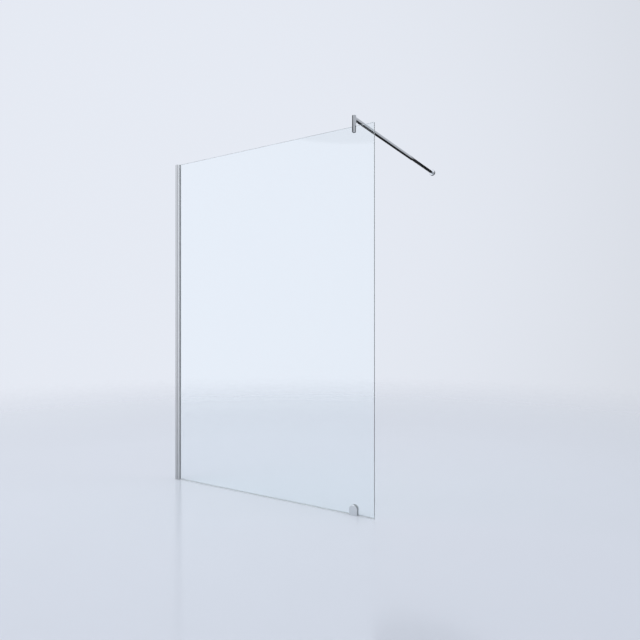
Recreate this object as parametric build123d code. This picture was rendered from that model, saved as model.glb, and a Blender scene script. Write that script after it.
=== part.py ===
from build123d import *
import os

# A walk-in shower screen in millimetres. X runs from the mounting face of the wall channel along the
# glass to its free edge, Y from the middle of the glass along the bar, and Z up. The origin is on that
# mounting face, at its lower end, in the middle plane of the glass.

# The screen as a whole
overall_width = 1400.0  # mounting face to the free edge of the glass
glass_top = 2000.0
back_wall_distance = 1158.0  # middle of the glass to the far end of the bar
fitting_inset = 116.0  # free edge of the glass to the middle of the clamp and of the foot

# Clearances
running_gap = 0.3  # between pieces that slide past each other
seat_gap = 0.05  # between pieces that are seated in each other
thread_gap = 0.05  # between a screw's outside and the hole that it is screwed into
sliding_fit = 0.08  # radial, between the bar's tubes and what guides them

# Wall channel
wall_channel_depth = 22.0
wall_channel_width = 24.0
wall_channel_thickness = 1.8
wall_channel_corner = 0.8
wall_channel_inner_corner = 0.4
wall_hole_radius = 2.75
wall_hole_end_distance = 100.0  # ends of the glass's height to the outer holes
wall_holes_inner_spacing = 600.0

# Cap on top of the wall channel
cap_thickness = 1.5
cap_edge = 0.5
cap_tongue_thickness = 1.6
cap_tongue_width = 16.0
cap_tongue_depth = 12.0

# Width adjustment: how far the glass channel goes in and out from where it is drawn
travel_in = 6.0
travel_out = 3.0

# Glass channel
glass_channel_depth = 23.0
glass_channel_thickness = 1.5
glass_channel_corner = 0.6
glass_channel_lip = 1.5
glass_channel_lip_width = 1.5
glass_channel_base = 1.0
glass_channel_top_gap = 0.5  # below the cap

# Adjusting screws with their nut plates and caps
adjusting_pitch = 750.0
adjusting_mouth_distance = 4.5  # mouth of the wall channel to the screws
adjusting_shank_radius = 1.95
adjusting_head_radius = 3.8
adjusting_head_height = 2.2
adjusting_slot_clearance = 0.35
drive_slot_width = 1.0
drive_slot_length = 4.6
drive_slot_depth = 1.2
nut_plate_width = 6.0
nut_plate_height = 12.0
nut_plate_thickness = 2.5
nut_plate_gap = 0.2
screw_cap_side_gap = 0.6  # round the screw's head
screw_cap_top_gap = 0.5
screw_cap_wall = 0.9
screw_cap_round = 1.4

# Glass
glass_thickness = 8.0
glass_base = 5.0
glass_arris = 0.7

# Gaskets between glass and glass channel
gasket_depth = 5.0
gasket_nose = 1.1
gasket_nose_inset = 0.6
gasket_lead_in = 1.0

# Packers at the glass's hidden edge, and the block under it
packer_thickness = 4.5
packer_width = 11.0
packer_height = 60.0
packer_base = 100.0
packer_pitch = 580.0
packer_top_distance = 80.0  # least distance from the highest packer to the top of the glass
block_length = 10.0
block_inset = 1.8

# Clear seal under the glass
seal_top_width = 7.2
seal_fin_width = 9.2
seal_fin_height = 0.7
seal_shoulder_height = 2.0
seal_floor_gap = 0.2
seal_end_gap = 0.5

# Foot
foot_width = 46.0
foot_height = 54.0
foot_plate_thickness = 7.0
foot_edge = 1.8
foot_shelf_thickness = 3.0
foot_pad_thickness = 1.5
foot_pad_inset = 1.5
foot_hole_height = 29.0
foot_glass_hole_radius = 7.0
foot_sleeve_wall = 3.2
foot_screw_radius = 2.45
foot_screw_head_radius = 4.5
foot_screw_head_height = 2.8
foot_screw_bite = 4.5
foot_socket_across = 3.0
foot_socket_depth = 1.8
foot_screw_cap_thickness = 1.0
foot_floor_hole_radius = 1.9
foot_countersink_radius = 3.4

# Clamp on the glass's top edge
clamp_above_bar = 14.0  # middle of the bar to the clamp's top
clamp_grip = 30.0  # how far the clamp reaches down the glass
clamp_edge = 0.8
clamp_liner_thickness = 1.5
clamp_plate_thickness = 1.6
clamp_slot_clearance = 0.1
clamp_liner_inset = 0.3
clamp_grub_radius = 2.45
clamp_grub_length = 3.4
clamp_grub_first_height = 8.0
clamp_grub_pitch = 15.0
clamp_grub_socket_across = 2.5
clamp_neck_step = 0.3  # radial, from the outer tube down to the neck
clamp_neck_reach = 16.0

# Stabilising bar
bar_above_glass = 43.0
outer_tube_radius = 11.0
outer_tube_wall = 1.0
outer_tube_end = 782.0  # distance of its open end from the middle of the glass
tube_step = 1.0  # radial, from the outer tube's bore to the inner tube, filled by the bush
inner_tube_wall = 1.2
tube_overlap = 220.0
spigot_stud_radius = 5.0
spigot_stud_length = 12.5
spigot_plug_length = 32.0
grub_radius = 1.95
grub_length = 6.0
grub_sink = 0.15
grub_socket_across = 2.0
grub_socket_depth = 1.0
spigot_grub_distance = 15.0
bush_length = 25.0
bush_flange = 1.5
bush_flange_step = 0.15
lock_screw_distance = 10.0
guide_collar_length = 12.0
guide_plug_length = 14.0
tube_end_break = 0.3

# Wall end of the bar
socket_flange_radius = 15.0
socket_flange_thickness = 4.0
socket_spigot_length = 24.0
socket_bore_radius = 5.0
socket_screw_radius = 2.75
socket_grub_distance = 9.0
socket_grub_length = 2.8
rosette_radius = 19.0
rosette_depth = 15.0
rosette_wall = 1.5
rosette_front = 4.0
rosette_round = 2.5
rosette_tube_clearance = 0.4
rosette_wall_gap = 0.2
o_ring_radius = 0.9
o_ring_groove_gap = 0.1

# Places that follow from the sizes above
cap_underside = glass_top + running_gap
glass_channel_back = wall_channel_thickness + cap_tongue_thickness + travel_in + running_gap
glass_channel_mouth = glass_channel_back + glass_channel_depth
glass_channel_top = cap_underside - glass_channel_top_gap
glass_channel_half = wall_channel_width / 2 - wall_channel_thickness - running_gap
glass_channel_inner_half = glass_channel_half - glass_channel_thickness
glass_edge = glass_channel_back + glass_channel_thickness + packer_thickness
glass_half = glass_thickness / 2
middle_height = glass_top / 2
adjusting_x = wall_channel_depth - adjusting_mouth_distance
screw_cap_radius = adjusting_head_radius + screw_cap_side_gap + screw_cap_wall
screw_cap_height = adjusting_head_height + screw_cap_top_gap + screw_cap_wall
fitting_x = overall_width - fitting_inset
foot_inner_face = glass_half + foot_pad_thickness
foot_outer_face = foot_inner_face + foot_plate_thickness
foot_arch_radius = foot_width / 2
clamp_radius = outer_tube_radius
clamp_neck_radius = outer_tube_radius - clamp_neck_step
clamp_base = glass_top - clamp_grip
clamp_front_slot = glass_half + clamp_liner_thickness
clamp_rear_slot = clamp_front_slot + clamp_plate_thickness + clamp_slot_clearance
bar_height = glass_top + bar_above_glass
clamp_top = bar_height + clamp_above_bar
outer_tube_bore = outer_tube_radius - outer_tube_wall
inner_tube_radius = outer_tube_bore - tube_step
inner_tube_bore = inner_tube_radius - inner_tube_wall
inner_tube_start = outer_tube_end - tube_overlap
inner_tube_end = back_wall_distance - socket_flange_thickness
rosette_face = back_wall_distance - rosette_wall_gap - rosette_depth


def along_x(outline, start, end):
    """A solid with this Y-Z outline between two X positions."""
    return extrude(Plane.YZ.offset(start) * outline, amount=end - start)


def along_y(outline, start, end):
    """A solid with this X-Z outline between two Y positions."""
    face = Plane(origin=(0, start, 0), x_dir=(1, 0, 0), z_dir=(0, -1, 0))
    return extrude(face * outline, amount=start - end)


def along_z(outline, low, high):
    """A solid with this X-Y outline between two heights."""
    return extrude(Plane.XY.offset(low) * outline, amount=high - low)


def box(x_span, y_span, z_span):
    """A block between pairs of positions."""
    middle = [(low + high) / 2 for low, high in (x_span, y_span, z_span)]
    size = [high - low for low, high in (x_span, y_span, z_span)]
    return Pos(*middle) * Box(*size)


def rod_y(radius, start, end, x, z):
    """A round rod along Y."""
    return along_y(Pos(x, z) * Circle(radius), start, end)


def rod_z(radius, low, high, x, y):
    """A round rod along Z."""
    return along_z(Pos(x, y) * Circle(radius), low, high)


def hexagon(across):
    """The outline of a hexagon socket with this size across its flats."""
    return RegularPolygon(radius=across / 2, side_count=6, major_radius=False)


def pick_circles(solid, radius, axis):
    """The solid's round edges with this radius, in order along an axis."""
    rings = [edge for edge in solid.edges().filter_by(GeomType.CIRCLE) if abs(edge.radius - radius) < 0.001]
    return ShapeList(rings).sort_by(axis)


def grub_below(y, top, length, radius=grub_radius):
    """A grub screw that points up into the bar from below, with its top end at a height."""
    low = top - length
    body = rod_z(radius, low, top, fitting_x, y)
    return body - along_z(Pos(fitting_x, y) * hexagon(grub_socket_across), low, low + grub_socket_depth)


def adjusting_heights():
    """Heights of the three adjusting screws."""
    return [middle_height + step * adjusting_pitch for step in (-1, 0, 1)]


def wall_hole_heights():
    """Heights of the four mounting holes."""
    inner = wall_holes_inner_spacing / 2
    outer = middle_height - wall_hole_end_distance
    return [middle_height + distance for distance in (-outer, -inner, inner, outer)]


def packer_heights():
    """Heights of the packers' lower ends, as many as the glass has room for."""
    room = glass_top - packer_top_distance - packer_height - packer_base
    return [packer_base + number * packer_pitch for number in range(int(room / packer_pitch) + 1)]


def wall_channel():
    half = wall_channel_width / 2
    outline = Pos(wall_channel_depth / 2, 0) * Rectangle(wall_channel_depth, wall_channel_width)
    corners = outline.vertices().group_by(Axis.X)[0]
    outline = fillet(corners, wall_channel_corner)
    inside = wall_channel_depth - wall_channel_thickness
    hollow = Rectangle(inside, 2 * (half - wall_channel_thickness))
    hollow = Pos(wall_channel_thickness + inside / 2, 0) * hollow
    hollow = fillet(hollow.vertices().group_by(Axis.X)[0], wall_channel_inner_corner)
    body = along_z(outline - hollow, 0, cap_underside)
    for height in wall_hole_heights():
        body -= along_x(Pos(0, height) * Circle(wall_hole_radius), -1, wall_channel_thickness + 1)
    for height in adjusting_heights():
        body -= rod_y(adjusting_shank_radius + thread_gap, 0, half + 1, adjusting_x, height)
    return body


def channel_top_cap():
    half = wall_channel_width / 2
    plate = box((0, wall_channel_depth), (-half, half), (cap_underside, cap_underside + cap_thickness))
    plate = fillet(plate.edges().filter_by(Axis.Z), wall_channel_corner)
    plate = fillet(plate.faces().sort_by(Axis.Z)[-1].edges(), cap_edge)
    tongue_half = cap_tongue_width / 2
    tongue = box(
        (wall_channel_thickness + seat_gap, wall_channel_thickness + cap_tongue_thickness),
        (-tongue_half, tongue_half),
        (cap_underside - cap_tongue_depth, cap_underside),
    )
    return plate + tongue


def adjusting_screw(height):
    head_face = wall_channel_width / 2
    tip = glass_channel_inner_half - nut_plate_gap - nut_plate_thickness
    shank = rod_y(adjusting_shank_radius, tip, head_face, adjusting_x, height)
    head_top = head_face + adjusting_head_height
    head = rod_y(adjusting_head_radius, head_face, head_top, adjusting_x, height)
    head = fillet(pick_circles(head, adjusting_head_radius, Axis.Y)[-1], adjusting_head_height / 2)
    cross = Rectangle(drive_slot_length, drive_slot_width) + Rectangle(drive_slot_width, drive_slot_length)
    drive = along_y(Pos(adjusting_x, height) * cross, head_top - drive_slot_depth, head_top + 1)
    return shank + head - drive


def adjusting_screw_cap(height):
    base = wall_channel_width / 2
    cup = rod_y(screw_cap_radius, base, base + screw_cap_height, adjusting_x, height)
    cup = fillet(pick_circles(cup, screw_cap_radius, Axis.Y)[-1], screw_cap_round)
    hollow_depth = screw_cap_height - screw_cap_wall
    hollow = rod_y(screw_cap_radius - screw_cap_wall, base - 1, base + hollow_depth, adjusting_x, height)
    return cup - hollow


def adjusting_nut_plate(height):
    face = glass_channel_inner_half - nut_plate_gap
    plate = box(
        (adjusting_x - nut_plate_width / 2, adjusting_x + nut_plate_width / 2),
        (face - nut_plate_thickness, face),
        (height - nut_plate_height / 2, height + nut_plate_height / 2),
    )
    return plate - rod_y(adjusting_shank_radius + thread_gap, 0, face + 1, adjusting_x, height)


def glass_channel():
    half = glass_channel_half
    middle = glass_channel_back + glass_channel_depth / 2
    outline = Pos(middle, 0) * Rectangle(glass_channel_depth, 2 * half)
    outline = fillet(outline.vertices(), glass_channel_corner)
    inside = glass_channel_depth - glass_channel_thickness
    hollow_middle = glass_channel_mouth - inside / 2
    hollow = Pos(hollow_middle, 0) * Rectangle(inside, 2 * glass_channel_inner_half)
    outline -= hollow
    lip_x = glass_channel_mouth - glass_channel_lip_width / 2 - glass_channel_corner / 2
    for side in (-1, 1):
        lip_y = side * (glass_channel_inner_half - glass_channel_lip / 2)
        outline += Pos(lip_x, lip_y) * Rectangle(glass_channel_lip_width, glass_channel_lip + 2 * seat_gap)
    body = along_z(outline, glass_channel_base, glass_channel_top)
    radius = adjusting_shank_radius + adjusting_slot_clearance
    length = travel_in + travel_out + 2 * radius
    slot_x = adjusting_x + (travel_in - travel_out) / 2
    for height in adjusting_heights():
        slot = Pos(slot_x, height) * SlotOverall(length, 2 * radius)
        body -= along_y(slot, 0, half + 1)
    return body


def gasket(side):
    """A wedge gasket with a nose over the channel's mouth, on one side of the glass."""
    lip_back = glass_channel_mouth - glass_channel_lip_width - glass_channel_corner / 2 - seat_gap
    lip_inner = glass_channel_inner_half - glass_channel_lip - 2 * seat_gap
    outer = glass_channel_inner_half - seat_gap
    start = glass_channel_mouth - gasket_depth
    nose = glass_channel_mouth + gasket_nose
    points = [
        (start, glass_half),
        (nose, glass_half),
        (nose, outer - gasket_nose_inset),
        (glass_channel_mouth + seat_gap, outer - gasket_nose_inset),
        (glass_channel_mouth + seat_gap, lip_inner),
        (lip_back, lip_inner),
        (lip_back, outer),
        (start + gasket_lead_in, outer),
        (start, outer - gasket_lead_in),
    ]
    outline = make_face(Polyline(*[(x, side * y) for x, y in points], close=True))
    nose_corners = outline.vertices().group_by(Axis.X)[-1]
    outline = fillet(nose_corners, gasket_nose / 3)
    return along_z(outline, glass_channel_base, glass_channel_top)


def side_packer(low):
    start = glass_channel_back + glass_channel_thickness
    return box((start, glass_edge), (-packer_width / 2, packer_width / 2), (low, low + packer_height))


def setting_block():
    start = glass_edge + block_inset
    return box((start, start + block_length), (-packer_width / 2, packer_width / 2), (0, glass_base))


def glass_panel():
    pane = box((glass_edge, overall_width), (-glass_half, glass_half), (glass_base, glass_top))
    pane = chamfer(pane.edges(), glass_arris)
    reach = glass_half + 1
    hole = rod_y(foot_glass_hole_radius, -reach, reach, fitting_x, foot_hole_height)
    return pane - hole


def seal_run(start, end):
    """One run of the strip under the glass, with a fin along each side at the floor."""
    top = seal_top_width / 2
    fin = seal_fin_width / 2
    half = [
        (top, glass_base),
        (top, seal_floor_gap + seal_shoulder_height),
        (fin, seal_floor_gap + seal_fin_height),
        (fin, seal_floor_gap),
    ]
    other = [(-y, z) for y, z in reversed(half)]
    return along_x(make_face(Polyline(*half, *other, close=True)), start, end)


def bottom_seal():
    first = glass_channel_mouth + gasket_nose + seal_end_gap
    foot_low = fitting_x - foot_arch_radius - seal_end_gap
    foot_high = fitting_x + foot_arch_radius + seal_end_gap
    return [seal_run(first, foot_low), seal_run(foot_high, overall_width - seal_end_gap)]


def arch(inset=0.0):
    """The foot's outline from the front: straight sides under a half circle."""
    radius = foot_arch_radius - inset
    spring = foot_height - foot_arch_radius
    sides = Pos(0, (spring + inset) / 2) * Rectangle(2 * radius, spring - inset)
    head = Pos(0, spring) * Circle(radius)
    return Pos(fitting_x, 0) * (sides + head)


def arch_plate(inner, outer):
    """One half of the foot, with the edge round its outer face rounded."""
    plate = along_y(arch(), inner, outer)
    outside = plate.faces().sort_by(Axis.Y)[-1 if outer > inner else 0]
    upper = [edge for edge in outside.edges() if edge.center().Z > foot_edge]
    return fillet(upper, foot_edge)


def foot_front_plate():
    plate = arch_plate(-foot_inner_face, -foot_outer_face)
    hole_end = -foot_inner_face - foot_screw_bite
    return plate - rod_y(foot_screw_radius + thread_gap, hole_end, 0, fitting_x, foot_hole_height)


def foot_rear_body():
    plate = arch_plate(foot_inner_face, foot_outer_face)
    shelf = box(
        (fitting_x - foot_arch_radius, fitting_x + foot_arch_radius),
        (-foot_inner_face + seat_gap, foot_inner_face + seat_gap),
        (0, foot_shelf_thickness),
    )
    body = plate + shelf
    body -= rod_y(foot_screw_radius + thread_gap, 0, foot_outer_face + 1, fitting_x, foot_hole_height)
    recess = foot_screw_head_height + foot_screw_cap_thickness
    head_radius = foot_screw_head_radius + seat_gap
    body -= rod_y(head_radius, foot_outer_face - recess, foot_outer_face + 1, fitting_x, foot_hole_height)
    body -= rod_z(foot_floor_hole_radius, -1, foot_shelf_thickness + 1, fitting_x, 0)
    sink_depth = foot_countersink_radius - foot_floor_hole_radius
    sink = Cone(foot_floor_hole_radius, foot_countersink_radius, sink_depth)
    return body - Pos(fitting_x, 0, foot_shelf_thickness - sink_depth / 2) * sink


def foot_pad(side):
    """Rubber between one half of the foot and the glass."""
    inner = side * glass_half
    outer = side * foot_inner_face
    pad = along_y(arch(foot_pad_inset), inner, outer)
    above_shelf = box(
        (fitting_x - foot_width, fitting_x + foot_width),
        (-foot_outer_face, foot_outer_face),
        (foot_shelf_thickness + seat_gap, foot_height),
    )
    pad &= above_shelf
    return pad - rod_y(foot_glass_hole_radius, -foot_outer_face, foot_outer_face, fitting_x, foot_hole_height)


def foot_base_pad():
    half = foot_arch_radius - foot_pad_inset
    x_span = (fitting_x - half, fitting_x + half)
    pad = box(x_span, (-glass_half, glass_half), (foot_shelf_thickness, glass_base))
    return pad - rod_z(foot_countersink_radius, 0, glass_base + 1, fitting_x, 0)


def foot_sleeve():
    outer = foot_glass_hole_radius - seat_gap
    tube = rod_y(outer, -foot_inner_face, foot_inner_face, fitting_x, foot_hole_height)
    bore = rod_y(outer - foot_sleeve_wall, -foot_outer_face, foot_outer_face, fitting_x, foot_hole_height)
    return tube - bore


def foot_screw():
    head_top = foot_outer_face - foot_screw_cap_thickness
    head_base = head_top - foot_screw_head_height
    tip = -foot_inner_face - foot_screw_bite + seat_gap
    screw = rod_y(foot_screw_radius, tip, head_base, fitting_x, foot_hole_height)
    screw += rod_y(foot_screw_head_radius, head_base, head_top, fitting_x, foot_hole_height)
    socket = Pos(fitting_x, foot_hole_height) * hexagon(foot_socket_across)
    return screw - along_y(socket, head_top - foot_socket_depth, head_top + 1)


def foot_screw_cap():
    base = foot_outer_face - foot_screw_cap_thickness + seat_gap
    return rod_y(foot_screw_head_radius, base, foot_outer_face, fitting_x, foot_hole_height)


def clamp_grub_heights():
    """Heights of the two grub screws in the clamp."""
    first = clamp_base + clamp_grub_first_height
    return [first, first + clamp_grub_pitch]


def clamp_body():
    body = rod_z(clamp_radius, clamp_base, clamp_top, fitting_x, 0)
    body = chamfer(pick_circles(body, clamp_radius, Axis.Z), clamp_edge)
    body += rod_y(clamp_neck_radius, 0, clamp_neck_reach, fitting_x, bar_height)
    slot_top = glass_top + clamp_liner_thickness + clamp_slot_clearance
    body -= box(
        (fitting_x - 2 * clamp_radius, fitting_x + 2 * clamp_radius),
        (-clamp_front_slot, clamp_rear_slot),
        (clamp_base - 1, slot_top),
    )
    stud_end = clamp_neck_reach - spigot_stud_length - thread_gap
    body -= rod_y(spigot_stud_radius + thread_gap, stud_end, clamp_neck_reach + 1, fitting_x, bar_height)
    for height in clamp_grub_heights():
        body -= rod_y(clamp_grub_radius + thread_gap, clamp_front_slot, clamp_radius + 1, fitting_x, height)
    return body


def clamp_liner():
    """A folded strip over the glass's top edge, cut to the clamp's round outline."""
    inner = glass_half
    outer = clamp_front_slot
    low = clamp_base + clamp_edge
    sheet = box(
        (fitting_x - clamp_radius, fitting_x + clamp_radius),
        (-outer, outer),
        (low, glass_top + clamp_liner_thickness),
    )
    pane_span = (fitting_x - 2 * clamp_radius, fitting_x + 2 * clamp_radius)
    pane = box(pane_span, (-inner, inner), (low - 1, glass_top))
    post = rod_z(clamp_radius - clamp_liner_inset, low, glass_top + clamp_liner_thickness, fitting_x, 0)
    return (sheet - pane) & post


def clamp_pressure_plate():
    start = clamp_front_slot
    plate = box(
        (fitting_x - clamp_radius, fitting_x + clamp_radius),
        (start, start + clamp_plate_thickness),
        (clamp_base + clamp_edge, glass_top - clamp_edge),
    )
    post = rod_z(clamp_radius - clamp_liner_inset, clamp_base, glass_top, fitting_x, 0)
    return plate & post


def clamp_grub_screw(height):
    tip = clamp_front_slot + clamp_plate_thickness
    end = tip + clamp_grub_length
    screw = rod_y(clamp_grub_radius, tip, end, fitting_x, height)
    socket = Pos(fitting_x, height) * hexagon(clamp_grub_socket_across)
    return screw - along_y(socket, end - grub_socket_depth, end + 1)


def bar_spigot():
    start = clamp_neck_reach
    stud = rod_y(spigot_stud_radius, start - spigot_stud_length, start, fitting_x, bar_height)
    plug_radius = outer_tube_bore - 2 * seat_gap
    plug = rod_y(plug_radius, start, start + spigot_plug_length, fitting_x, bar_height)
    plug = chamfer(pick_circles(plug, plug_radius, Axis.Y)[-1], clamp_edge)
    hole_y = start + spigot_grub_distance
    low = bar_height - outer_tube_radius
    hole = rod_z(grub_radius + thread_gap, low, low + grub_sink + grub_length + seat_gap, fitting_x, hole_y)
    return stud + plug - hole


def bar_outer_tube():
    start = clamp_neck_reach
    end = outer_tube_end
    tube = rod_y(outer_tube_radius, start, end, fitting_x, bar_height)
    tube -= rod_y(outer_tube_bore, start - 1, end + 1, fitting_x, bar_height)
    tube = chamfer(pick_circles(tube, outer_tube_radius, Axis.Y), tube_end_break)
    for y in (start + spigot_grub_distance, end - lock_screw_distance):
        low = bar_height - outer_tube_radius
        tube -= rod_z(grub_radius + thread_gap, low - 1, bar_height - outer_tube_bore / 2, fitting_x, y)
    return tube


def spigot_grub_screw():
    low = bar_height - outer_tube_radius + grub_sink
    return grub_below(clamp_neck_reach + spigot_grub_distance, low + grub_length, grub_length)


def telescope_bush():
    inner = outer_tube_end - bush_length
    bush = rod_y(outer_tube_bore - seat_gap, inner, outer_tube_end, fitting_x, bar_height)
    flange_radius = outer_tube_radius - bush_flange_step
    flange = rod_y(flange_radius, outer_tube_end, outer_tube_end + bush_flange, fitting_x, bar_height)
    flange = chamfer(pick_circles(flange, flange_radius, Axis.Y)[-1], bush_flange / 2)
    bore_end = outer_tube_end + 2 * bush_flange
    bore = rod_y(inner_tube_radius + sliding_fit, inner - 1, bore_end, fitting_x, bar_height)
    low = bar_height - outer_tube_radius
    screw_y = outer_tube_end - lock_screw_distance
    hole = rod_z(grub_radius + 2 * thread_gap, low, bar_height, fitting_x, screw_y)
    return bush + flange - bore - hole


def telescope_lock_screw():
    top = bar_height - inner_tube_radius - running_gap
    low = bar_height - outer_tube_radius + grub_sink
    return grub_below(outer_tube_end - lock_screw_distance, top, top - low)


def bar_inner_tube():
    tube = rod_y(inner_tube_radius, inner_tube_start, inner_tube_end, fitting_x, bar_height)
    tube -= rod_y(inner_tube_bore, inner_tube_start - 1, inner_tube_end + 1, fitting_x, bar_height)
    low = bar_height - inner_tube_radius
    y = back_wall_distance - socket_grub_distance
    return tube - rod_z(grub_radius + thread_gap, low - 1, bar_height - inner_tube_bore / 2, fitting_x, y)


def inner_tube_guide():
    """A collar that centres the hidden end of the inner tube, with a plug pressed into it."""
    collar_start = inner_tube_start - guide_collar_length
    radius = outer_tube_bore - sliding_fit
    collar = rod_y(radius, collar_start, inner_tube_start, fitting_x, bar_height)
    collar = chamfer(pick_circles(collar, radius, Axis.Y), clamp_edge)
    plug_end = inner_tube_start + guide_plug_length
    plug = rod_y(inner_tube_bore - seat_gap, inner_tube_start, plug_end, fitting_x, bar_height)
    return collar + plug


def wall_socket():
    flange_start = inner_tube_end
    flange = rod_y(socket_flange_radius, flange_start, back_wall_distance, fitting_x, bar_height)
    spigot_start = flange_start - socket_spigot_length
    spigot = rod_y(inner_tube_bore - seat_gap, spigot_start, flange_start, fitting_x, bar_height)
    bore = rod_y(socket_bore_radius, spigot_start - 1, flange_start, fitting_x, bar_height)
    screw_hole = rod_y(socket_screw_radius, flange_start - 1, back_wall_distance + 1, fitting_x, bar_height)
    low = bar_height - inner_tube_radius
    grub_y = back_wall_distance - socket_grub_distance
    grub_hole = rod_z(grub_radius + thread_gap, low, bar_height, fitting_x, grub_y)
    return flange + spigot - bore - screw_hole - grub_hole


def socket_grub_screw():
    low = bar_height - inner_tube_radius + grub_sink
    top = low + socket_grub_length
    return grub_below(back_wall_distance - socket_grub_distance, top, socket_grub_length)


def o_ring_place():
    """The Y position of the O-ring's middle and the radius of its middle line."""
    return rosette_face + rosette_front / 2, inner_tube_radius + sliding_fit + o_ring_radius


def cover_rosette():
    end = rosette_face + rosette_depth
    cup = rod_y(rosette_radius, rosette_face, end, fitting_x, bar_height)
    cup = fillet(pick_circles(cup, rosette_radius, Axis.Y)[0], rosette_round)
    cup -= rod_y(rosette_radius - rosette_wall, rosette_face + rosette_front, end + 1, fitting_x, bar_height)
    hole_radius = inner_tube_radius + rosette_tube_clearance
    cup -= rod_y(hole_radius, rosette_face - 1, end, fitting_x, bar_height)
    ring_y, ring_radius = o_ring_place()
    groove_radius = ring_radius + o_ring_radius + o_ring_groove_gap
    groove_half = o_ring_radius + o_ring_groove_gap
    return cup - rod_y(groove_radius, ring_y - groove_half, ring_y + groove_half, fitting_x, bar_height)


def rosette_o_ring():
    ring_y, ring_radius = o_ring_place()
    return Pos(fitting_x, ring_y, bar_height) * Rot(90, 0, 0) * Torus(ring_radius, o_ring_radius)


def make_parts():
    """Every sub-part under its node's name."""
    heights = adjusting_heights()
    return {
        "wall_channel": wall_channel(),
        "channel_top_cap": channel_top_cap(),
        "adjusting_screws": [adjusting_screw(height) for height in heights],
        "adjusting_screw_caps": [adjusting_screw_cap(height) for height in heights],
        "adjusting_nut_plates": [adjusting_nut_plate(height) for height in heights],
        "glass_channel": glass_channel(),
        "front_gasket": gasket(-1),
        "rear_gasket": gasket(1),
        "side_packers": [side_packer(low) for low in packer_heights()],
        "setting_block": setting_block(),
        "glass_panel": glass_panel(),
        "bottom_seal": bottom_seal(),
        "foot_front_plate": foot_front_plate(),
        "foot_rear_body": foot_rear_body(),
        "foot_front_pad": foot_pad(-1),
        "foot_rear_pad": foot_pad(1),
        "foot_base_pad": foot_base_pad(),
        "foot_sleeve": foot_sleeve(),
        "foot_screw": foot_screw(),
        "foot_screw_cap": foot_screw_cap(),
        "clamp_body": clamp_body(),
        "clamp_liner": clamp_liner(),
        "clamp_pressure_plate": clamp_pressure_plate(),
        "clamp_grub_screws": [clamp_grub_screw(height) for height in clamp_grub_heights()],
        "bar_spigot": bar_spigot(),
        "bar_outer_tube": bar_outer_tube(),
        "spigot_grub_screw": spigot_grub_screw(),
        "telescope_bush": telescope_bush(),
        "telescope_lock_screw": telescope_lock_screw(),
        "bar_inner_tube": bar_inner_tube(),
        "inner_tube_guide": inner_tube_guide(),
        "wall_socket": wall_socket(),
        "socket_grub_screw": socket_grub_screw(),
        "cover_rosette": cover_rosette(),
        "rosette_o_ring": rosette_o_ring(),
    }


def main():
    os.makedirs("parts", exist_ok=True)
    for name, shape in make_parts().items():
        pieces = shape if isinstance(shape, list) else [shape]
        solids = [solid for piece in pieces for solid in piece.solids()]
        export_step(solids[0] if len(solids) == 1 else Compound(children=solids), f"parts/{name}.step")
        print(name, len(solids), round(sum(solid.volume for solid in solids)))


main()
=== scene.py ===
# %% [markdown]
# # A walk-in shower screen, finished and lit
#
# A pane of clear glass stands in a slim upright profile. A small foot holds its free corner at the
# floor, and a round bar runs back from a clamp on its top edge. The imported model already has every
# piece at its real size, so this lesson is about looks: the finish of each surface, a pale floor, soft
# light and a camera.

# %% Load the model
import math

import bmesh
import bpy
from mathutils import Matrix, Vector


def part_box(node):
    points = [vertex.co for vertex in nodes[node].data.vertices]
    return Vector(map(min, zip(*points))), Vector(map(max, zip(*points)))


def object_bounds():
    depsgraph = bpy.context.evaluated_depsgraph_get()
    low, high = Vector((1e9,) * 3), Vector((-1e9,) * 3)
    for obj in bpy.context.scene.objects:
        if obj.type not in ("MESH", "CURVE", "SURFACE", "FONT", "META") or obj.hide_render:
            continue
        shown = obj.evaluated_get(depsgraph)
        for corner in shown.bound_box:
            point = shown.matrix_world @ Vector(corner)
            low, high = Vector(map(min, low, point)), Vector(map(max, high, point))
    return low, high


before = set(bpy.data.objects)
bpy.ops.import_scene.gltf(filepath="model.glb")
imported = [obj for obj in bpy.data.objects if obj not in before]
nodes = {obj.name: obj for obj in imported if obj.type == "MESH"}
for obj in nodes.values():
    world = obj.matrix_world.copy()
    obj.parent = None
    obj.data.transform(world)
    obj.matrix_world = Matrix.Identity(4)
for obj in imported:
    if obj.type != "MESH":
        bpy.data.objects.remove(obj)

cad_low, cad_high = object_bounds()
print("The model spans", [round(high - low, 3) for low, high in zip(cad_low, cad_high)], "metres")

# %% [markdown]
# ## The camera
#
# The camera is level, so the screen's upright edges stay upright in the picture. It stands in front of
# the pane and to the right of its free edge. A lens of 30 mm on a 36 mm sensor gives the perspective.
# The horizon lies a little under the middle of the picture, which a small shift does without tilting
# the camera.

# %% Place the camera
CAMERA_PLACE = (2.6028, -2.4657, 0.9626)
CAMERA_YAW = math.radians(31.738)
LENS_MM = 30.482
SENSOR_MM = 36.0
HORIZON_SHIFT = 0.01263

camera = bpy.data.objects.new("camera", bpy.data.cameras.new("camera"))
camera.location = CAMERA_PLACE
camera.rotation_euler = (math.radians(90), 0, CAMERA_YAW)
camera.data.sensor_width = SENSOR_MM
camera.data.lens = LENS_MM
camera.data.shift_y = HORIZON_SHIFT
bpy.context.scene.collection.objects.link(camera)
bpy.context.scene.camera = camera
print("Camera at", CAMERA_PLACE, "with a", LENS_MM, "mm lens")

# %% [markdown]
# ## Shader maths as Python
#
# A finish is a network of nodes, and long networks are hard to read. One small class wraps an output
# socket, so that sums and products of signals are written as plain arithmetic and become Math nodes.
# Another class holds a material and adds any other node by its type, its settings and its inputs.

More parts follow.
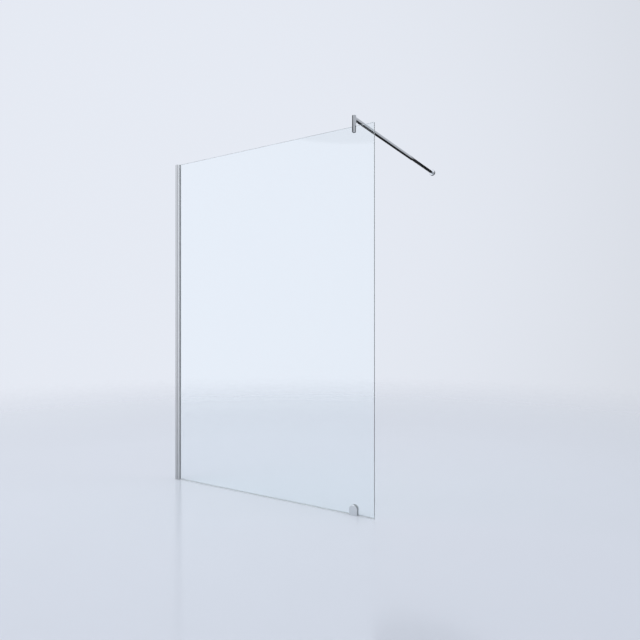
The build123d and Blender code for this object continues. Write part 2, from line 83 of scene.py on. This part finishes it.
# %% Wrap a socket
class Signal:
    """An output of a node. Arithmetic on signals adds Math nodes."""

    def __init__(self, finish, socket):
        self.finish = finish
        self.socket = socket

    def maths(self, operation, first, second):
        return self.finish.node("ShaderNodeMath", {"operation": operation}, {0: first, 1: second})

    def __add__(self, other):
        return self.maths("ADD", self, other)

    def __radd__(self, other):
        return self.maths("ADD", other, self)

    def __rsub__(self, other):
        return self.maths("SUBTRACT", other, self)

    def __mul__(self, other):
        return self.maths("MULTIPLY", self, other)

    def __rmul__(self, other):
        return self.maths("MULTIPLY", other, self)

    def __gt__(self, other):
        return self.maths("GREATER_THAN", self, other)


# %% Build a material node by node
class Finish:
    """The nodes of a material, or of the world where its tree is given."""

    def __init__(self, name, tree=None):
        if tree is None:
            self.material = bpy.data.materials.new(name)
            self.material.use_nodes = True
            tree = self.material.node_tree
        self.tree = tree
        self.tree.nodes.clear()

    def node(self, kind, settings, inputs, output=0):
        """Add a node: its settings come first, then a value or a link for each input."""
        made = self.tree.nodes.new(kind)
        for name, value in settings.items():
            setattr(made, name, value)
        for name, value in inputs.items():
            if isinstance(value, Signal):
                self.tree.links.new(value.socket, made.inputs[name])
            else:
                made.inputs[name].default_value = value
        if made.outputs:
            return Signal(self, made.outputs[output])

    def place(self, output="Object"):
        """Where a point lies on its piece, in metres, also when the piece moves."""
        return self.node("ShaderNodeTexCoord", {}, {}, output)

    def noise(self, stretch, detail=2.0):
        """Noise with this many features to the metre along X, Y and Z, around 0.5."""
        scaled = self.node("ShaderNodeVectorMath", {"operation": "MULTIPLY"}, {0: self.place(), 1: stretch})
        inputs = {"Vector": scaled, "Scale": 1.0, "Detail": detail, "Roughness": 0.5}
        return self.node("ShaderNodeTexNoise", {}, inputs)

    def colour(self, share, first, second):
        """A colour between two others."""
        inputs = {"Factor": share, 6: first, 7: second}
        return self.node("ShaderNodeMix", {"data_type": "RGBA"}, inputs, 2)

    def bump(self, height, depth):
        """A normal that is bent by a height from 0 to 1, of this depth in metres."""
        return self.node("ShaderNodeBump", {}, {"Strength": 1.0, "Distance": depth, "Height": height})

    def show(self, surface):
        self.node("ShaderNodeOutputMaterial", {}, {"Surface": surface})
        return self.material


def grey(value, blue=0.0):
    """A neutral colour, a little cooler where blue is above 0."""
    return (value * (1 - blue), value * (1 - blue / 2), value, 1.0)


def paint(names, material):
    """Give these nodes of the model one material."""
    for name in names:
        for held in nodes[name].material_slots:
            held.material = material
    print(material.name, "on", len(names), "nodes")


# %% [markdown]
# ## Aluminium
#
# The two profiles are extruded, so the metal has fine lines along its length where it slid through
# the die, and anodising leaves it satin. Noise that is stretched along Z gives such lines: narrow
# across the profile, very long down it. They change the roughness and the height a little, and the
# colour hardly at all.

# %% Make the aluminium
def aluminium(name, shade, satin):
    finish = Finish(name)
    fine = finish.noise((2600, 2600, 5), detail=3.0)
    broad = finish.noise((260, 260, 0.9))
    cloud = finish.noise((9, 9, 6))
    lines = 0.6 * fine + 0.4 * broad
    principled = finish.node("ShaderNodeBsdfPrincipled", {}, {
        "Base Color": finish.colour(lines, grey(shade * 0.95, 0.02), grey(shade * 1.05, 0.02)),
        "Metallic": 1.0,
        "Roughness": (satin - 0.05) + 0.06 * lines + 0.04 * cloud,
        "Normal": finish.bump(lines, 0.00002),
    })
    return finish.show(principled)


paint(["wall_channel"], aluminium("anodised_profile", 0.47, 0.36))
paint(["glass_channel"], aluminium("bright_profile", 0.68, 0.3))

# %% [markdown]
# ## Chrome
#
# The bar, the clamp, the foot and the rosette are polished and plated. A mirror with no flaw looks
# false, so the polish has a very faint ripple, a haze that comes and goes, and hair-fine marks from
# wiping. Chromium is a darker metal than silver, and slightly blue.

# %% Make the chrome
MARK_LIMIT = 0.68


def chrome(name):
    finish = Finish(name)
    ripple = finish.noise((55, 55, 55), detail=1.0)
    haze = finish.noise((22, 22, 22), detail=4.0)
    wiped = finish.noise((1900, 130, 1900), detail=1.0)
    marks = wiped > MARK_LIMIT
    principled = finish.node("ShaderNodeBsdfPrincipled", {}, {
        "Base Color": finish.colour(haze, grey(0.64, 0.05), grey(0.74, 0.05)),
        "Metallic": 1.0,
        "Roughness": 0.035 + 0.06 * haze + 0.05 * marks,
        "Normal": finish.bump(ripple, 0.00004),
    })
    return finish.show(principled)


CHROME_NODES = ["foot_front_plate", "foot_rear_body", "foot_screw_cap", "clamp_body", "bar_spigot",
                "bar_outer_tube", "bar_inner_tube", "wall_socket", "cover_rosette"]
paint(CHROME_NODES, chrome("polished_chrome"))

# %% [markdown]
# ## Stainless steel
#
# Screws and small plates are plain steel: greyer and rougher than the chrome, with a fine grain from
# turning and tumbling.

# %% Make the steel
def stainless(name):
    finish = Finish(name)
    grain = finish.noise((3000, 3000, 3000), detail=3.0)
    patch = finish.noise((400, 400, 400))
    principled = finish.node("ShaderNodeBsdfPrincipled", {}, {
        "Base Color": finish.colour(patch, grey(0.5), grey(0.64)),
        "Metallic": 1.0,
        "Roughness": 0.24 + 0.14 * grain + 0.08 * patch,
        "Normal": finish.bump(grain, 0.00003),
    })
    return finish.show(principled)


STEEL_NODES = ["adjusting_screws", "adjusting_nut_plates", "foot_screw", "clamp_pressure_plate",
               "clamp_grub_screws", "spigot_grub_screw", "telescope_lock_screw", "socket_grub_screw"]
paint(STEEL_NODES, stainless("turned_steel"))

# %% [markdown]
# ## Plastics and rubber
#
# The caps are moulded in silver-grey plastic with a fine spark-eroded grain. Packers, bush and sleeve
# are dark nylon. Whatever touches the glass in sight is light grey rubber, so that it hardly shows
# beside the pane, and the hidden liner and ring are black.

# %% Make the plastics and the rubber
def moulded(name, shade, rough, grain_depth, tint=0.03):
    finish = Finish(name)
    grain = finish.noise((5200, 5200, 5200), detail=2.0)
    flow = finish.noise((120, 120, 40), detail=2.0)
    principled = finish.node("ShaderNodeBsdfPrincipled", {}, {
        "Base Color": finish.colour(flow, grey(shade * 0.93, tint), grey(shade * 1.06, tint)),
        "Roughness": (rough - 0.06) + 0.08 * grain + 0.06 * flow,
        "IOR": 1.48,
        "Normal": finish.bump(grain, grain_depth),
    })
    return finish.show(principled)


paint(["channel_top_cap", "adjusting_screw_caps"], moulded("cap_plastic", 0.46, 0.42, 0.00003))
paint(["side_packers", "setting_block", "foot_sleeve", "telescope_bush", "inner_tube_guide"],
      moulded("nylon", 0.09, 0.5, 0.00003))
paint(["front_gasket", "rear_gasket", "foot_front_pad", "foot_rear_pad", "foot_base_pad"],
      moulded("grey_rubber", 0.62, 0.55, 0.00004))
paint(["clamp_liner", "rosette_o_ring"], moulded("black_rubber", 0.03, 0.6, 0.00005))

# %% [markdown]
# ## Glass
#
# The pane is 8 mm of clear toughened glass. Its faces are almost free of colour. Its ground edges are
# satin and grey-green, because light reaches them through much more glass. The top edge, which is seen
# from below, is given a painted shade: its colour is made far darker than the side edges' own colour,
# though it is the same ground glass. Masks tell these surfaces apart by the direction that each has on
# the piece: the faces point along Y and the top edge points up, with its small bevels. Toughening
# leaves a very slight wave in the faces. Lamps shine through the glass by a Transparent shader that
# only shadow rays meet, which is quicker and softer than true caustics.

# %% Make the glass
FACE_LIMIT = 0.9
TOP_LIMIT = 0.3
FACE_COLOUR = (0.96, 0.99, 1.0, 1.0)
SIDE_EDGE_COLOUR = (0.86, 0.95, 0.94, 1.0)
# The top edge's colour is painted shade, far darker than the side edges' own satin colour.
TOP_EDGE_PAINTED_SHADE = (0.12, 0.19, 0.2, 1.0)
LAMPLIGHT_COLOUR = (0.86, 0.92, 0.91, 1.0)


def clear_glass(name):
    finish = Finish(name)
    normal = finish.place("Normal")
    along_y = finish.node("ShaderNodeSeparateXYZ", {}, {0: normal}, "Y")
    facing = finish.node("ShaderNodeMath", {"operation": "ABSOLUTE"}, {0: along_y}) > FACE_LIMIT
    # This mask puts the painted shade on the top edge, where the edge colour turns dark.
    shaded_top = finish.node("ShaderNodeSeparateXYZ", {}, {0: normal}, "Z") > TOP_LIMIT
    edge_tone_and_top_shade = finish.colour(shaded_top, SIDE_EDGE_COLOUR, TOP_EDGE_PAINTED_SHADE)
    wave = finish.noise((3, 3, 2), detail=0.0)
    glass = finish.node("ShaderNodeBsdfPrincipled", {}, {
        "Base Color": finish.colour(facing, edge_tone_and_top_shade, FACE_COLOUR),
        "Roughness": 0.35 - 0.35 * facing,
        "IOR": 1.5,
        "Transmission Weight": 1.0,
        "Normal": finish.bump(wave, 0.00015),
    })
    lamp_ray = finish.node("ShaderNodeLightPath", {}, {}, "Is Shadow Ray")
    through = finish.node("ShaderNodeBsdfTransparent", {}, {"Color": LAMPLIGHT_COLOUR})
    return finish.show(finish.node("ShaderNodeMixShader", {}, {0: lamp_ray, 1: glass, 2: through}))


paint(["glass_panel"], clear_glass("toughened_glass"))

# %% [markdown]
# ## The strip under the glass
#
# The seal is soft clear plastic. It is milky next to the glass, because its extruded surface is dull,
# so it reads as a fine bright line along the floor.

# %% Make the clear strip
def clear_strip(name):
    finish = Finish(name)
    cloud = finish.noise((60, 300, 300), detail=2.0)
    lines = finish.noise((12, 2200, 2200), detail=2.0)
    principled = finish.node("ShaderNodeBsdfPrincipled", {}, {
        "Base Color": finish.colour(cloud, (0.84, 0.87, 0.89, 1.0), (0.94, 0.96, 0.98, 1.0)),
        "Roughness": 0.2 + 0.12 * lines,
        "IOR": 1.53,
        "Transmission Weight": 0.3,
        "Normal": finish.bump(lines, 0.00005),
    })
    return finish.show(principled)


paint(["bottom_seal"], clear_strip("clear_strip"))

# %% [markdown]
# ## The world
#
# The world is a pale grey dome with a soft glow behind the profile's side of the picture, so the
# backdrop has a gentle fall of light instead of one flat tone. The glow depends only on the direction in the
# world. Mirrors and glass see the same dome, with a second glow in front, as from a white reflector
# beside the camera. It gives the pane its faint bright veil.

# %% Paint the world
DIM_SKY = (0.58, 0.605, 0.655, 1.0)
BRIGHT_SKY = (0.79, 0.825, 0.9, 1.0)
BACK_GLOW = (-0.77, 0.62, 0.17)
BACK_GLOW_RIM = 0.2
FRONT_GLOW = (-0.6, -0.79, 0.1)
FRONT_GLOW_RIM = 0.62
REFLECTOR_STRENGTH = 1.1

world = bpy.data.worlds.new("studio")
world.use_nodes = True
bpy.context.scene.world = world
sky = Finish("studio", world.node_tree)


def glow(towards, rim):
    """A soft patch of the dome: 1 towards a direction, 0 where the dot product falls to the rim."""
    sides = {0: sky.place("Generated"), 1: towards}
    match = sky.node("ShaderNodeVectorMath", {"operation": "DOT_PRODUCT"}, sides, "Value")
    return sky.node("ShaderNodeMapRange", {"interpolation_type": "SMOOTHSTEP"}, {
        "Value": match, "From Min": rim, "From Max": 1.0})


seen = sky.node("ShaderNodeLightPath", {}, {}, "Is Camera Ray")
backdrop = sky.colour(glow(BACK_GLOW, BACK_GLOW_RIM), DIM_SKY, BRIGHT_SKY)
reflector = glow(FRONT_GLOW, FRONT_GLOW_RIM) * (1 - seen)
dome = sky.node("ShaderNodeBackground", {}, {
    "Color": backdrop, "Strength": 1 + REFLECTOR_STRENGTH * reflector})
sky.node("ShaderNodeOutputWorld", {}, {"Surface": dome})
print("World painted with", len(world.node_tree.nodes), "nodes")

# %% [markdown]
# ## The floor
#
# The floor is one large disc, pale like the backdrop, with a soft polish that mirrors the foot and the
# profile a little. It fades out towards its rim, so there is no hard line at the horizon.

# %% Lay the floor
FLOOR_RADIUS = 12.0
FADE_START = 1.8
FADE_LENGTH = 6.0
FLOOR_CENTRE = (0.7, 0.4, 0.0)
FLOOR_GREY = (0.7, 0.725, 0.775, 1.0)
FLOOR_PALE = (0.72, 0.745, 0.8, 1.0)


def floor_finish():
    finish = Finish("studio_floor")
    from_middle = finish.node("ShaderNodeVectorMath", {"operation": "LENGTH"}, {0: finish.place()}, "Value")
    fade = finish.node("ShaderNodeMapRange", {"interpolation_type": "SMOOTHSTEP"}, {
        "Value": from_middle, "From Min": FADE_START, "From Max": FADE_START + FADE_LENGTH})
    cloud = finish.noise((0.7, 0.7, 0.7), detail=1.0)
    surface = finish.node("ShaderNodeBsdfPrincipled", {}, {
        "Base Color": finish.colour(cloud, FLOOR_GREY, FLOOR_PALE),
        "Roughness": 0.11 + 0.03 * cloud,
    })
    nothing = finish.node("ShaderNodeBsdfTransparent", {}, {})
    return finish.show(finish.node("ShaderNodeMixShader", {}, {0: fade, 1: surface, 2: nothing}))


floor_mesh = bpy.data.meshes.new("floor")
disc = bmesh.new()
bmesh.ops.create_circle(disc, cap_ends=True, segments=128, radius=FLOOR_RADIUS)
disc.to_mesh(floor_mesh)
disc.free()
floor = bpy.data.objects.new("floor", floor_mesh)
floor.location = FLOOR_CENTRE
bpy.context.scene.collection.objects.link(floor)
floor_mesh.materials.append(floor_finish())
print("Floor of", 2 * FLOOR_RADIUS, "metres across")

# %% [markdown]
# ## Dark cards
#
# Chrome shows only what surrounds it. In an all-white studio it turns flat grey, so a photographer
# holds black cards beside it, and the bar gets the black lower half that reads as polished metal. Each
# card here is a disc with a soft rim, stretched to size, and only reflections can see it. One stands
# past the far end of the bar and is cut along a slant through the bar's axis, where the black half of
# the tube ends. A small one before it darkens the thin tube all round. The third hangs beside the
# clamp, so high that the pane mirrors it only as a faint shade near its top edge.

# %% Finish a card
RIM_START = 0.8
CUT_FADE = 0.1


def card_finish(name, cut):
    """Black with a fine nap, clear outside the rim and above the cut, in shares of the disc's size."""
    finish = Finish(name)
    place = finish.place()
    from_middle = finish.node("ShaderNodeVectorMath", {"operation": "LENGTH"}, {0: place}, "Value")
    outside = finish.node("ShaderNodeMapRange", {"interpolation_type": "SMOOTHSTEP"}, {
        "Value": from_middle, "From Min": RIM_START, "From Max": 1.0})
    height = finish.node("ShaderNodeSeparateXYZ", {}, {0: place}, "Z")
    above = finish.node("ShaderNodeMapRange", {"interpolation_type": "SMOOTHSTEP"}, {
        "Value": height, "From Min": cut, "From Max": cut + CUT_FADE})
    nap = finish.noise((700, 700, 700), detail=2.0)
    cloth = finish.node("ShaderNodeBsdfPrincipled", {}, {
        "Base Color": finish.colour(nap, grey(0.004), grey(0.012)), "Roughness": 0.9})
    nothing = finish.node("ShaderNodeBsdfTransparent", {}, {})
    clear = 1 - (1 - outside) * (1 - above)
    return finish.show(finish.node("ShaderNodeMixShader", {}, {0: clear, 1: cloth, 2: nothing}))


# %% Hold the cards
def hold_card(name, centre, half_width, half_height, turn=(0, 0, 0), cut=1.0):
    disc = bmesh.new()
    bmesh.ops.create_circle(disc, cap_ends=True, segments=64, radius=1.0)
    bmesh.ops.rotate(disc, matrix=Matrix.Rotation(math.radians(90), 3, "X"), verts=disc.verts)
    mesh = bpy.data.meshes.new(name)
    disc.to_mesh(mesh)
    disc.free()
    mesh.materials.append(card_finish(name, cut))
    card = bpy.data.objects.new(name, mesh)
    card.location = centre
    card.scale = (half_width, 1, half_height)
    card.rotation_euler = [math.radians(angle) for angle in turn]
    bpy.context.scene.collection.objects.link(card)
    card.visible_camera = False
    card.visible_diffuse = False
    card.visible_transmission = False
    card.visible_shadow = False
    print(name, "is", 2 * half_width, "by", 2 * half_height, "metres")


FAR_CARD_GAP = 0.062
BAR_END_CARD_GAP = 0.042
FAR_CARD_SLANT = 39.3

tube_low, tube_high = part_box("bar_outer_tube")
bar_x = (tube_low[0] + tube_high[0]) / 2
bar_z = (tube_low[2] + tube_high[2]) / 2
bar_end = cad_high[1]
far_centre = (bar_x, bar_end + FAR_CARD_GAP, bar_z)
hold_card("far_card", far_centre, 1.02, 1.02, turn=(0, FAR_CARD_SLANT, 0), cut=0.0)
hold_card("bar_end_card", (bar_x, bar_end + BAR_END_CARD_GAP, bar_z), 0.26, 0.26)
hold_card("clamp_card", (0.72, -0.47, 2.3), 0.7, 0.15, turn=(0, 0, -50))

# %% [markdown]
# ## Lamps
#
# Two large soft lamps hang high over the screen, so that neither shows as a bright rectangle in the
# pane. They add soft modelling to the profiles and a faint shadow under the glass.

# %% Hang the lamps
def softbox(name, place, target, size, watts):
    lamp = bpy.data.objects.new(name, bpy.data.lights.new(name, "AREA"))
    lamp.data.shape = "RECTANGLE"
    lamp.data.size, lamp.data.size_y = size
    lamp.data.energy = watts
    lamp.location = place
    lamp.rotation_euler = (Vector(place) - Vector(target)).to_track_quat("Z", "Y").to_euler()
    bpy.context.scene.collection.objects.link(lamp)
    print(name, "with", watts, "watts")


MIDDLE = (0.7, 0.3, 1.0)
softbox("key", (-1.4, -1.8, 4.8), MIDDLE, (2.4, 2.4), 60)
softbox("fill", (3.2, 1.6, 4.6), MIDDLE, (2.0, 2.0), 30)

# %% [markdown]
# ## Colours as written
#
# The Standard view transform shows each colour as it is written in its material.

# %% Finish
bpy.context.scene.view_settings.view_transform = "Standard"
